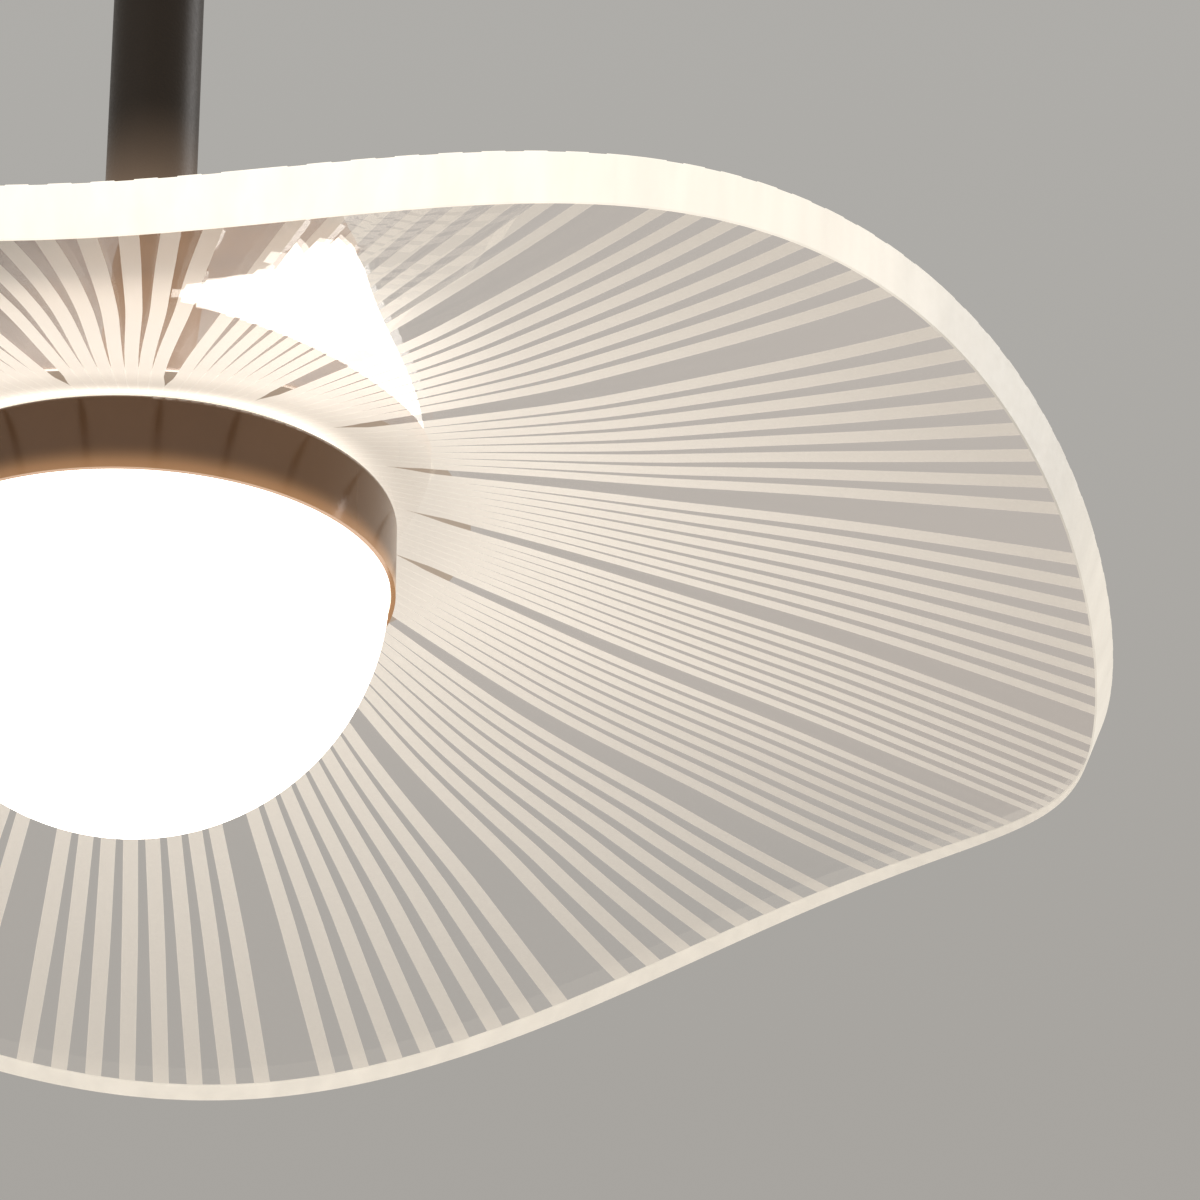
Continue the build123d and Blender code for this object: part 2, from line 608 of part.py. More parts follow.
SPOKES_PER_LOBE = 8
LOBE = 360 / LOBES
with BuildPart() as one_lobe:
    for spoke in range(SPOKES_PER_LOBE + 1):
        spoke_angle = CREST_ANGLE + LOBE * spoke / SPOKES_PER_LOBE
        low_line, high_line = spoke_profile(spoke_angle)
        rim_slope = (1, slopes(low_line[-1][0], spoke_angle)[0])
        with BuildSketch(radial_plane(spoke_angle, SHADE_Z)):
            with BuildLine():
                Line((SHADE_BORE_R, 0), low_line[0])
                Spline(*low_line, tangents=((1, 0), rim_slope))
                Line(low_line[-1], high_line[-1])
                Spline(*high_line, tangents=((1, 0), rim_slope))
                Line(high_line[0], (SHADE_BORE_R, SHEET_T))
                Line((SHADE_BORE_R, SHEET_T), (SHADE_BORE_R, 0))
            make_face()
    loft()

with BuildPart() as shade_plate:
    with PolarLocations(0, LOBES):
        add(one_lobe.part)
shade_plate.part.label = "shade_plate"
export_step(shade_plate.part, "parts/shade_plate.step")

# Spool inside the shade's bore: it carries the ring of light and its heat
SPOOL_RIM = (37.0, 40.0)
SPOOL_WEB = (0.5, 3.5)
SPOOL_BOSS_R = 11.0
DECK_TOP = -GASKET_T
WIRE_HOLE_X = 30.0
WIRE_HOLE_R = 2.0
HUB_SCREW_RING = 28.0
HUB_SCREWS = 3
HUB_SCREW_START = 60.0
STRIP_LOW = 1.0
STRIP_HIGH = 9.0
SPOOL_TOP = SHEET_T - 0.5
WIRE_HIGH = SHADE_Z + (STRIP_LOW + STRIP_HIGH) / 2 + 1.0
SIDE_HOLE_R = 1.5
with BuildPart() as light_spool:
    with BuildSketch(Plane.XZ):
        with BuildLine():
            Polyline(
                (NIPPLE_R + THREAD_GAP, SHADE_Z + DECK_TOP),
                (SPOOL_BOSS_R, SHADE_Z + DECK_TOP),
                (SPOOL_BOSS_R, SHADE_Z + SPOOL_WEB[0]),
                (SPOOL_RIM[1], SHADE_Z + SPOOL_WEB[0]),
                (SPOOL_RIM[1], SHADE_Z + SPOOL_TOP),
                (SPOOL_RIM[0], SHADE_Z + SPOOL_TOP),
                (SPOOL_RIM[0], SHADE_Z + SPOOL_WEB[1]),
                (SPOOL_BOSS_R, SHADE_Z + SPOOL_WEB[1]),
                (SPOOL_BOSS_R, SHADE_Z + CAP_TOP - CAP_T),
                (NIPPLE_R + THREAD_GAP, SHADE_Z + CAP_TOP - CAP_T),
                close=True,
            )
        make_face()
    revolve(axis=Axis.Z)
    with BuildSketch(Plane.XY.offset(SHADE_Z + SPOOL_WEB[0])):
        with Locations((WIRE_HOLE_X, 0)):
            Circle(WIRE_HOLE_R)
        with PolarLocations(HUB_SCREW_RING, HUB_SCREWS, start_angle=HUB_SCREW_START):
            Circle(M3_R + THREAD_GAP)
    extrude(amount=SPOOL_WEB[1] - SPOOL_WEB[0], mode=Mode.SUBTRACT)
    with BuildSketch(Plane.YZ.offset(WIRE_HOLE_X)):
        with Locations((0, WIRE_HIGH)):
            Circle(SIDE_HOLE_R)
    extrude(amount=SPOOL_RIM[1] - SPOOL_BOSS_R, mode=Mode.SUBTRACT)
light_spool.part.label = "light_spool"
export_step(light_spool.part, "parts/light_spool.step")

# Flexible board round the spool, with its lamps facing into the acrylic
STRIP_T = 0.4
LAMP_T = 1.4
LAMP_LIFT = 0.02
EDGE_LAMP = 2.8
EDGE_LAMPS = 54
with BuildPart() as edge_light_strip:
    add(tube(SPOOL_RIM[1] + STRIP_T, SPOOL_RIM[1], SHADE_Z + STRIP_LOW, SHADE_Z + STRIP_HIGH))
edge_light_strip.part.label = "edge_light_strip"
export_step(edge_light_strip.part, "parts/edge_light_strip.step")

with BuildPart() as edge_lamps:
    with BuildSketch(Plane.XY.offset(SHADE_Z + (SHEET_T - EDGE_LAMP) / 2)):
        with PolarLocations(SPOOL_RIM[1] + STRIP_T + LAMP_T / 2 + LAMP_LIFT, EDGE_LAMPS):
            Rectangle(LAMP_T, EDGE_LAMP)
    extrude(amount=EDGE_LAMP)
edge_lamps.part.label = "edge_lamps"
export_step(edge_lamps.part, "parts/edge_lamps.step")

# Housing: a short spun drum, open below
DECK_LOW = DECK_TOP - DECK_T
HOUSING_EDGE = 1.2
with BuildPart() as housing:
    with BuildSketch(Plane.XY.offset(SHADE_Z + HOUSING_BOTTOM)):
        Circle(HOUSING_R)
    extrude(amount=DECK_TOP - HOUSING_BOTTOM)
    fillet(housing.edges().group_by(Axis.Z)[-1], radius=HOUSING_EDGE)
    with BuildSketch(Plane.XY.offset(SHADE_Z + HOUSING_BOTTOM)):
        Circle(HOUSING_R - HOUSING_WALL)
    extrude(amount=DECK_LOW - HOUSING_BOTTOM, mode=Mode.SUBTRACT)
    with BuildSketch(Plane.XY.offset(SHADE_Z + DECK_LOW)):
        Circle(NIPPLE_R + THREAD_GAP)
        with Locations((WIRE_HOLE_X, 0)):
            Circle(WIRE_HOLE_R)
        with PolarLocations(HUB_SCREW_RING, HUB_SCREWS, start_angle=HUB_SCREW_START):
            Circle(M3_R + THREAD_GAP)
    extrude(amount=DECK_T, mode=Mode.SUBTRACT)
housing.part.label = "housing"
export_step(housing.part, "parts/housing.step")

HUB_HEAD_H = 1.6
with BuildPart() as hub_screws:
    with BuildSketch(Plane.XY.offset(SHADE_Z + DECK_LOW - HUB_HEAD_H)):
        with PolarLocations(HUB_SCREW_RING, HUB_SCREWS, start_angle=HUB_SCREW_START):
            Circle(M3_HEAD_R)
    extrude(amount=HUB_HEAD_H)
    chamfer(hub_screws.edges().group_by(Axis.Z)[0], length=M3_BEVEL)
    with BuildSketch(Plane.XY.offset(SHADE_Z + DECK_LOW)):
        with PolarLocations(HUB_SCREW_RING, HUB_SCREWS, start_angle=HUB_SCREW_START):
            Circle(M3_R)
    extrude(amount=SPOOL_WEB[1] - DECK_LOW)
hub_screws.part.label = "hub_screws"
export_step(hub_screws.part, "parts/hub_screws.step")

# Downlight board under the deck, with three rings of lamps
BOARD_R = 44.0
BOARD_T = 1.6
BOARD_BORE_R = 11.0
BOARD_UNDER = DECK_LOW - BOARD_T
HEAD_CLEAR_R = 3.2
BOARD_SCREW_START = 20.0
BOARD_SCREW_R = 1.25
with BuildPart() as downlight_board:
    with BuildSketch(Plane.XY.offset(SHADE_Z + BOARD_UNDER)):
        Circle(BOARD_R)
        Circle(BOARD_BORE_R, mode=Mode.SUBTRACT)
        with PolarLocations(HUB_SCREW_RING, HUB_SCREWS, start_angle=HUB_SCREW_START):
            Circle(HEAD_CLEAR_R, mode=Mode.SUBTRACT)
        with PolarLocations(HUB_SCREW_RING, HUB_SCREWS, start_angle=BOARD_SCREW_START):
            Circle(BOARD_SCREW_R + THREAD_GAP, mode=Mode.SUBTRACT)
        with Locations((WIRE_HOLE_X, 0)):
            Circle(WIRE_HOLE_R, mode=Mode.SUBTRACT)
    extrude(amount=BOARD_T)
downlight_board.part.label = "downlight_board"
export_step(downlight_board.part, "parts/downlight_board.step")

LAMP_RINGS = ((18.0, 6), (34.0, 15), (40.5, 21))
LAMP_START = 30.0
LAMP_SIZE = (2.8, 3.5)
LAMP_H = 0.7
with BuildPart() as downlight_lamps:
    with BuildSketch(Plane.XY.offset(SHADE_Z + BOARD_UNDER - LAMP_H)):
        for ring_r, count in LAMP_RINGS:
            with PolarLocations(ring_r, count, start_angle=LAMP_START):
                Rectangle(*LAMP_SIZE)
    extrude(amount=LAMP_H)
downlight_lamps.part.label = "downlight_lamps"
export_step(downlight_lamps.part, "parts/downlight_lamps.step")

BOARD_HEAD_R = 2.4
BOARD_HEAD_H = 1.4
BOARD_BEVEL = 0.6
with BuildPart() as board_screws:
    with BuildSketch(Plane.XY.offset(SHADE_Z + BOARD_UNDER - BOARD_HEAD_H)):
        with PolarLocations(HUB_SCREW_RING, HUB_SCREWS, start_angle=BOARD_SCREW_START):
            Circle(BOARD_HEAD_R)
    extrude(amount=BOARD_HEAD_H)
    chamfer(board_screws.edges().group_by(Axis.Z)[0], length=BOARD_BEVEL)
    with BuildSketch(Plane.XY.offset(SHADE_Z + BOARD_UNDER)):
        with PolarLocations(HUB_SCREW_RING, HUB_SCREWS, start_angle=BOARD_SCREW_START):
            Circle(BOARD_SCREW_R)
    extrude(amount=BOARD_T)
board_screws.part.label = "board_screws"
export_step(board_screws.part, "parts/board_screws.step")

# Toothed washer and nut that pull the head together under the deck
TOOTHED_R = 9.0
TOOTHED_T = 1.2
NOTCHES = 12
NOTCH_R = 0.6
with BuildPart() as clamp_washer:
    with BuildSketch(Plane.XY.offset(SHADE_Z + DECK_LOW - TOOTHED_T)):
        Circle(TOOTHED_R)
        with PolarLocations(TOOTHED_R, NOTCHES):
            Circle(NOTCH_R, mode=Mode.SUBTRACT)
        Circle(NIPPLE_R + THREAD_GAP, mode=Mode.SUBTRACT)
    extrude(amount=TOOTHED_T)
clamp_washer.part.label = "clamp_washer"
export_step(clamp_washer.part, "parts/clamp_washer.step")

CLAMP_NUT_H = 5.0
NUT_TOP = SHADE_Z + DECK_LOW - TOOTHED_T
with BuildPart() as clamp_nut:
    with BuildSketch(Plane.XY.offset(NUT_TOP - CLAMP_NUT_H)):
        RegularPolygon(TUBE_NUT_R, 6, major_radius=False)
        Circle(NIPPLE_R + THREAD_GAP, mode=Mode.SUBTRACT)
    extrude(amount=CLAMP_NUT_H)
clamp_nut.part.label = "clamp_nut"
export_step(clamp_nut.part, "parts/clamp_nut.step")

# Plug of the supply lead on the downlight board
PLUG_X = 22.0
PLUG_SIZE = (8.0, 9.0, 6.0)
with BuildPart() as board_plug:
    with BuildSketch(Plane.XY.offset(SHADE_Z + BOARD_UNDER - PLUG_SIZE[2])):
        with Locations((PLUG_X, 0)):
            Rectangle(PLUG_SIZE[0], PLUG_SIZE[1])
    extrude(amount=PLUG_SIZE[2])
    chamfer(board_plug.edges().group_by(Axis.Z)[0], length=EDGE)
board_plug.part.label = "board_plug"
export_step(board_plug.part, "parts/board_plug.step")

# Supply lead: down the rod, out of the head tube and round to its plug
LEAD_TOP = PIVOT_Z + 6.0
SHIFT_TOP = ROD_TOP - 24.0
SHIFT_LOW = SHIFT_TOP - 60.0
SHIFT_MID = (SHIFT_TOP + SHIFT_LOW) / 2
PLUG_LOW = SHADE_Z + BOARD_UNDER - PLUG_SIZE[2]
with BuildPart() as supply_lead:
    with BuildLine():
        Line((0, LEAD_Y, LEAD_TOP), (0, LEAD_Y, SHIFT_TOP))
        first_bend = TangentArc((0, LEAD_Y, SHIFT_TOP), (0, LEAD_Y / 2, SHIFT_MID), tangent=(0, 0, -1))
        TangentArc((0, LEAD_Y / 2, SHIFT_MID), (0, 0, SHIFT_LOW), tangent=first_bend % 1)
        Line((0, 0, SHIFT_LOW), (0, 0, PLUG_LOW))
        ThreePointArc((0, 0, PLUG_LOW), (PLUG_X / 2, 0, PLUG_LOW - PLUG_X / 2), (PLUG_X, 0, PLUG_LOW))
    with BuildSketch(Plane.XY.offset(LEAD_TOP)):
        with Locations((0, LEAD_Y)):
            Circle(LEAD_R)
    sweep()
supply_lead.part.label = "supply_lead"
export_step(supply_lead.part, "parts/supply_lead.step")

# Thin lead from the plug up through the deck to the edge strip
WIRE_R = 0.8
WIRE_BEND = 4.0
WIRE_END_X = SPOOL_RIM[1] - 0.1
WIRE_START = PLUG_X + PLUG_SIZE[0] / 2
WIRE_LOW = SHADE_Z + BOARD_UNDER - PLUG_SIZE[2] / 2
with BuildPart() as edge_strip_lead:
    with BuildLine():
        TangentArc((WIRE_START, 0, WIRE_LOW), (WIRE_HOLE_X, 0, WIRE_LOW + WIRE_BEND), tangent=(1, 0, 0))
        Line((WIRE_HOLE_X, 0, WIRE_LOW + WIRE_BEND), (WIRE_HOLE_X, 0, WIRE_HIGH - WIRE_BEND))
        TangentArc(
            (WIRE_HOLE_X, 0, WIRE_HIGH - WIRE_BEND),
            (WIRE_HOLE_X + WIRE_BEND, 0, WIRE_HIGH),
            tangent=(0, 0, 1),
        )
        Line((WIRE_HOLE_X + WIRE_BEND, 0, WIRE_HIGH), (WIRE_END_X, 0, WIRE_HIGH))
    with BuildSketch(Plane.YZ.offset(WIRE_START)):
        with Locations((0, WIRE_LOW)):
            Circle(WIRE_R)
    sweep()
edge_strip_lead.part.label = "edge_strip_lead"
export_step(edge_strip_lead.part, "parts/edge_strip_lead.step")

# Bayonet ring under the deck: a flange with three gaps and three end stops
BAYONET_WALL = (46.0, 47.2)
FLANGE_R = 50.9
FLANGE_T = 1.7
LUG_IN = 48.6
LUG_T = 2.0
LUG_ARC = 24.0
LUG_ANGLES = (30.0, 150.0, 270.0)
LUG_LOW = -12.7
UNLOCK_TURN = 42.0
ENTRY_ARC = 32.0
ENTRY_DEPTH = 5.0
STOP_ARC = 3.0
STOP_GAP = 0.5
SEAT_GAP = 0.3
SEAT = LUG_LOW - SEAT_GAP
with BuildPart() as bayonet_ring:
    add(tube(BAYONET_WALL[1], BAYONET_WALL[0], SHADE_Z + SEAT - FLANGE_T, SHADE_Z + DECK_LOW))
    add(tube(FLANGE_R, BAYONET_WALL[0], SHADE_Z + SEAT - FLANGE_T, SHADE_Z + SEAT))
    for lug_angle in LUG_ANGLES:
        entry_from = lug_angle + UNLOCK_TURN - ENTRY_ARC / 2
        with BuildSketch(radial_plane(entry_from, SHADE_Z + SEAT - FLANGE_T)):
            with Locations((BAYONET_WALL[1], 0)):
                Rectangle(ENTRY_DEPTH, FLANGE_T, align=(Align.MIN, Align.MIN))
        revolve(axis=Axis.Z, revolution_arc=ENTRY_ARC, mode=Mode.SUBTRACT)
        stop_from = lug_angle - LUG_ARC / 2 - STOP_ARC - STOP_GAP
        with BuildSketch(radial_plane(stop_from, SHADE_Z + SEAT)):
            with Locations((BAYONET_WALL[0], 0)):
                Rectangle(FLANGE_R - BAYONET_WALL[0], LUG_T, align=(Align.MIN, Align.MIN))
        revolve(axis=Axis.Z, revolution_arc=STOP_ARC)
bayonet_ring.part.label = "bayonet_ring"
export_step(bayonet_ring.part, "parts/bayonet_ring.step")

# White cone that throws the board's light down
CONE_WALL = 0.8
CONE_TOP_R = BOARD_R + 0.3
CONE_LOW_R = BAYONET_WALL[0] - 0.9
with BuildPart() as reflector_cone:
    with BuildSketch(Plane.XZ):
        with BuildLine():
            Polyline(
                (CONE_TOP_R, SHADE_Z + DECK_LOW),
                (CONE_TOP_R + CONE_WALL, SHADE_Z + DECK_LOW),
                (CONE_LOW_R + CONE_WALL, SHADE_Z + SEAT),
                (CONE_LOW_R, SHADE_Z + SEAT),
                close=True,
            )
        make_face()
    revolve(axis=Axis.Z)
reflector_cone.part.label = "reflector_cone"
export_step(reflector_cone.part, "parts/reflector_cone.step")

# Opal dome with its plain lip and three inward lugs
DOME_LIP = LUG_LOW + LUG_T
with BuildPart() as diffuser_dome:
    with BuildSketch(Plane.XZ):
        with BuildLine():
            inner_r = DOME_R - DOME_WALL
            centre = SHADE_Z + DOME_CENTRE
            lip = SHADE_Z + DOME_LIP
            Line((inner_r, centre), (inner_r, lip))
            Line((inner_r, lip), (DOME_R, lip))
            Line((DOME_R, lip), (DOME_R, centre))
            CenterArc((0, centre), DOME_R, 0, -90)
            Line((0, centre - DOME_R), (0, centre - inner_r))
            CenterArc((0, centre), inner_r, 0, -90)
        make_face()
    revolve(axis=Axis.Z)
    for lug_angle in LUG_ANGLES:
        with BuildSketch(radial_plane(lug_angle - LUG_ARC / 2, SHADE_Z + LUG_LOW)):
            with Locations((LUG_IN, 0)):
                Rectangle(DOME_R - DOME_WALL / 2 - LUG_IN, LUG_T, align=(Align.MIN, Align.MIN))
        revolve(axis=Axis.Z, revolution_arc=LUG_ARC)
diffuser_dome.part.label = "diffuser_dome"
export_step(diffuser_dome.part, "parts/diffuser_dome.step")
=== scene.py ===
import json
from math import cos, degrees, radians, sin, sqrt

import bpy
from mathutils import Matrix, Vector


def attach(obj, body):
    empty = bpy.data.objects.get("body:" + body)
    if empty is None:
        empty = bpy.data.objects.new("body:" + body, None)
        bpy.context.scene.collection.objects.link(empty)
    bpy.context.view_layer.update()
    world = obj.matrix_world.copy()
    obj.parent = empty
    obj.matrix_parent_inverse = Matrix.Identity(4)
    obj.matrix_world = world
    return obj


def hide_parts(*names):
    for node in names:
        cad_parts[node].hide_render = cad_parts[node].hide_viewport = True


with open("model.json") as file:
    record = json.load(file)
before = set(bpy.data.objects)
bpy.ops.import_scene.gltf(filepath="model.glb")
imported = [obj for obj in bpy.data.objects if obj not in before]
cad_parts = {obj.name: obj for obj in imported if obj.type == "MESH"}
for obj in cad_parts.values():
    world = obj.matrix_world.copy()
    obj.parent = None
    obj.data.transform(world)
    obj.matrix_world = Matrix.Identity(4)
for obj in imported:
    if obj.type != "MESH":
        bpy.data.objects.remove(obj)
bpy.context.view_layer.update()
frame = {"nodes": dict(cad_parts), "record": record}
nodes = frame["nodes"]
MM = 0.001

# Sizes of the shade, in millimetres, as in the CAD
SHADE_Z = -420.0            # underside of the sheet at the hub
SHEET_RADIUS = 210.0        # of the flat disc, before it was draped
SHEET_T = 10.0
BORE_R = 44.0
FLAT_R = 49.0               # the sheet is clamped flat up to here
SHADE_DROP = 39.0           # how far the rim falls, on average
WAVE = 12.9                 # and how far its waves rise and fall about that
LOBES = 4
CREST_ANGLE = 37.9
WAVE_GROWTH = 2.05          # the waves grow with this power of the way out
KNEE = 0.025                # how softly the flat turns into the cone
BOW = 0.055                 # how much the cone is bowed

# The front of the sheet sags a little beside the hub
SAG = 1.35
SAG_RADII = (52.0, 76.0, 162.0)     # where it starts, is deepest and ends
SAG_TOWARDS = -72.0
SAG_NARROW = 3

# The engraved bars: groups of eight, with a clear wedge between the groups
GROUPS = 18
BARS = 8
GROUP_ANGLE = 360 / GROUPS
FIRST_GROUP = 5.6
BAR_PITCH = 2.235
BAR_WIDTH_HUB = 2.75
BAR_WIDTH_RIM = 3.68
WIDENING = (72.0, 162.0)    # the bars widen between these radii
SLIT_TIP = 72.0             # the slits between bars close here
SLIT = 0.06                 # and go on as a hair line
WEDGE_TIP = 57.0            # the wedges between groups close here
WEDGE_ROUND = 8.0           # and narrow over this length
TIP_END = 73.0              # up to here they are painted brown with a painted warm glow, for the lit cap above the hub
ENGRAVED = 0.15             # depth of the bars
WALL = 0.15                 # width of their side walls
ARRIS = 0.3                 # bevel of the sheet's sawn edge

# How the drape pulls the bars out of even spacing: the most degrees, the direction that
# it is centred on, how narrow it is, and the radii between which it fades out
STRAYS = (
    (4.2, 135, 3, None),
    (1.3, 32, 8, (100, 160)),
    (-1.75, -54, 7, (63, 125)),
)

# The sheet's mesh
ROWS = 60                   # from the flat to the rim
ROW_GROWTH = 1.5            # they lie closer together near the hub
GLOW_END = 0.01             # the top face shows the bore's glow up to this share of the way
BAR_COLUMNS = 5             # across one bar
WEDGE_COLUMNS = 2           # across one wedge
STEP = 0.05                 # for measuring its slope, in millimetres
SHARP = 32                  # edges over this angle stay sharp
CLEAR, FROSTED, EDGE, BORE, TIP = range(5)      # its material slots

# Heights that the finishes follow, in metres
HUB_Z = SHADE_Z * MM
LIP_Z = (SHADE_Z - 18.1) * MM               # the housing's lip
LIP_GLOW = 0.007                            # how far up the lip the painted glow reaches
ROD_GLOW = (HUB_Z + 0.055, HUB_Z + 0.100)   # where the rod's painted warm glow ends

# Camera: the lens fits the photograph's square frame, and angles are in degrees
LENS = 170.29
SENSOR = 36.0
CAMERA_PLACE = (0.0, -1.07001, -0.98668)
CAMERA_TURN = -5.285        # from looking along +Y
CAMERA_RISE = 27.169        # above level
CAMERA_ROLL = 0.098

# Floor and backdrop
FLOOR_REACH = 40
FLOOR_Z = -2.7
BACKDROP_LOW = (0.390, 0.374, 0.350)
BACKDROP_HIGH = (0.426, 0.416, 0.395)
FADE = (0.38, 0.54)         # the backdrop lightens between these shares of straight up
LIGHT_COLOUR = (1.0, 0.99, 0.975, 1.0)
LIGHT_LEVEL = 0.8
LIT_POINT = (0, 0, -0.25)   # the studio lamps point here


# Camera, at the photograph's viewing angle

camera_data = bpy.data.cameras.new("camera")
camera_data.lens = LENS
camera_data.sensor_width = SENSOR
camera = bpy.data.objects.new("camera", camera_data)
bpy.context.scene.collection.objects.link(camera)
camera.matrix_world = (
    Matrix.Translation(CAMERA_PLACE)
    @ Matrix.Rotation(radians(CAMERA_TURN), 4, "Z")
    @ Matrix.Rotation(radians(90 + CAMERA_RISE), 4, "X")
    @ Matrix.Rotation(radians(CAMERA_ROLL), 4, "Z")
)
bpy.context.scene.camera = camera
bpy.context.scene.view_settings.view_transform = "Standard"


# Node helpers

class Nodes:
    """Short calls for a material's or the world's node tree."""

    def __init__(self, tree):
        self.tree = tree
        tree.nodes.clear()

    def feed(self, socket, value):
        """Link a socket to an input, or set the input's own value."""
        if isinstance(value, bpy.types.NodeSocket):
            self.tree.links.new(value, socket)
        else:
            socket.default_value = value

    def add(self, kind, inputs=None, **settings):
        node = self.tree.nodes.new(kind)
        for key, value in settings.items():
            setattr(node, key, value)
        for key, value in (inputs or {}).items():
            self.feed(node.inputs[key], value)
        return node

    def math(self, operation, a, b):
        return self.add("ShaderNodeMath", {0: a, 1: b}, operation=operation).outputs[0]

    def place(self):
        return self.add("ShaderNodeTexCoord").outputs["Object"]

    def axes(self, place):
        return self.add("ShaderNodeSeparateXYZ", {0: place}).outputs

    def inside(self):
        """1 where a face is met from inside the solid."""
        return self.add("ShaderNodeNewGeometry").outputs["Backfacing"]

    def noise(self, scale, detail=3.0, stretch=(1.0, 1.0, 1.0)):
        mapped = self.add("ShaderNodeMapping", {"Vector": self.place(), "Scale": stretch})
        inputs = {"Vector": mapped.outputs[0], "Scale": scale, "Detail": detail}
        return self.add("ShaderNodeTexNoise", inputs).outputs["Fac"]

    def span(self, value, low, high, from_low=0.0, from_high=1.0, smooth=False):
        """Map a value from one range to another, clamped to its ends."""
        kind = "SMOOTHSTEP" if smooth else "LINEAR"
        inputs = dict(enumerate((value, from_low, from_high, low, high)))
        return self.add("ShaderNodeMapRange", inputs, interpolation_type=kind).outputs[0]

    def blend(self, factor, a, b):
        node = self.add("ShaderNodeMix", data_type="RGBA")
        for index, value in ((0, factor), (6, a), (7, b)):
            self.feed(node.inputs[index], (*value, 1) if isinstance(value, tuple) else value)
        return node.outputs[2]

    def bump(self, height, distance, strength=1.0):
        inputs = {"Height": height, "Distance": distance, "Strength": strength}
        return self.add("ShaderNodeBump", inputs).outputs[0]

    def radius(self, place):
        """Distance from the lamp's axis."""
        x, y, _ = self.axes(place)
        squares = self.math("ADD", self.math("MULTIPLY", x, x), self.math("MULTIPLY", y, y))
        return self.math("SQRT", squares, 0.0)

    def distance(self, place, x, y):
        """Distance from an upright line through (x, y)."""
        inputs = {0: place, 1: (x, y, 0.0)}
        moved = self.add("ShaderNodeVectorMath", inputs, operation="SUBTRACT").outputs[0]
        return self.radius(moved)

    def shader(self, **inputs):
        sockets = {key.replace("_", " "): value for key, value in inputs.items()}
        shader = self.add("ShaderNodeBsdfPrincipled", sockets)
        self.add("ShaderNodeOutputMaterial", {"Surface": shader.outputs[0]})


def material(name):
    made = bpy.data.materials.new(name)
    made.use_nodes = True
    return made, Nodes(made.node_tree)


def shade_of(colour, factor):
    return tuple(min(1.0, c * factor) for c in colour)


def grained(name, colour, rough, metal=0.0, scale=900.0, vary=0.12, bump=0.00004,
            stretch=(1, 1, 1), **sockets):
    """A finish with a fine grain: its colour, gloss and height all follow noise."""
    made, n = material(name)
    fine = n.noise(scale, 4.0, stretch)
    broad = n.noise(28.0, 2.0)
    mixed = n.math("ADD", n.math("MULTIPLY", fine, 0.5), n.math("MULTIPLY", broad, 0.5))
    n.shader(
        Base_Color=n.blend(mixed, shade_of(colour, 1 - vary), shade_of(colour, 1 + vary)),
        Metallic=metal,
        Roughness=n.span(mixed, rough * 0.8, rough * 1.2, 0.3, 0.7),
        Normal=n.bump(fine, bump),
        **sockets,
    )
    return made


# Finishes

steel = grained("zinc_steel", (0.62, 0.62, 0.60), 0.34, metal=1.0, scale=700.0, stretch=(1, 1, 4))
aluminium = grained(
    "turned_aluminium", (0.75, 0.75, 0.76), 0.30, metal=1.0, scale=300.0, stretch=(1, 1, 12)
)
brass = grained("brass", (0.72, 0.55, 0.28), 0.30, metal=1.0, scale=500.0, stretch=(1, 1, 8))
nylon = grained("nylon", (0.80, 0.78, 0.73), 0.50, scale=600.0, vary=0.05)
case = grained("driver_case", (0.80, 0.80, 0.79), 0.55, scale=1800.0, vary=0.04, bump=0.00008)
silicone = grained(
    "silicone", (0.72, 0.71, 0.68), 0.45, scale=500.0, vary=0.06, Transmission_Weight=0.25
)
jacket = grained("lead_jacket", (0.040, 0.040, 0.042), 0.55)
board = grained("white_board", (0.84, 0.84, 0.81), 0.42, scale=800.0, vary=0.04)


def rod_coat():
    """Dark satin coat; the lower end of the rod has a painted warm glow for the shade's light."""
    made, n = material("dark_brown_coat")
    fine = n.noise(1400.0, 4.0)
    broad = n.noise(28.0, 2.0)
    _, _, height = n.axes(n.place())
    # Painted warm glow on the rod's lower end, for the shade's light falling on it
    low = n.span(height, 0.27, 0.0, *ROD_GLOW, smooth=True)
    n.shader(
        Base_Color=n.blend(broad, (0.025, 0.017, 0.011), (0.031, 0.022, 0.015)),
        Metallic=0.15,
        Specular_IOR_Level=0.25,
        Roughness=n.span(fine, 0.36, 0.46, 0.3, 0.7),
        Normal=n.bump(fine, 0.00003),
        Emission_Color=(1.0, 0.68, 0.46, 1.0),
        Emission_Strength=n.math("MULTIPLY", low, n.span(broad, 0.85, 1.15, 0.3, 0.7)),
    )
    return made


def housing_coat():
    """Satin brown coat that mirrors the shade, with a painted glow on its lip and painted light on
    its right side.
    """
    made, n = material("brown_coat")
    fine = n.noise(1600.0)
    broad = n.noise(22.0)
    x, _, height = n.axes(n.place())
    # Painted glow on the lip, for the dome's light spilling over it
    lip = n.math("POWER", n.span(height, 1.0, 0.0, LIP_Z, LIP_Z + LIP_GLOW, smooth=True), 2.2)
    # Painted light on the housing's right side
    right = n.span(x, 0.0, 0.05, 0.015, 0.050)
    n.shader(
        Base_Color=n.blend(broad, (0.079, 0.036, 0.013), (0.098, 0.048, 0.019)),
        Metallic=0.25,
        Roughness=n.span(broad, 0.15, 0.22, 0.3, 0.7),
        Normal=n.bump(fine, 0.00002, 0.5),
        Emission_Color=(1.0, 0.52, 0.23, 1.0),
        Emission_Strength=n.math("ADD", n.math("MULTIPLY", lip, 0.27), right),
    )
    return made


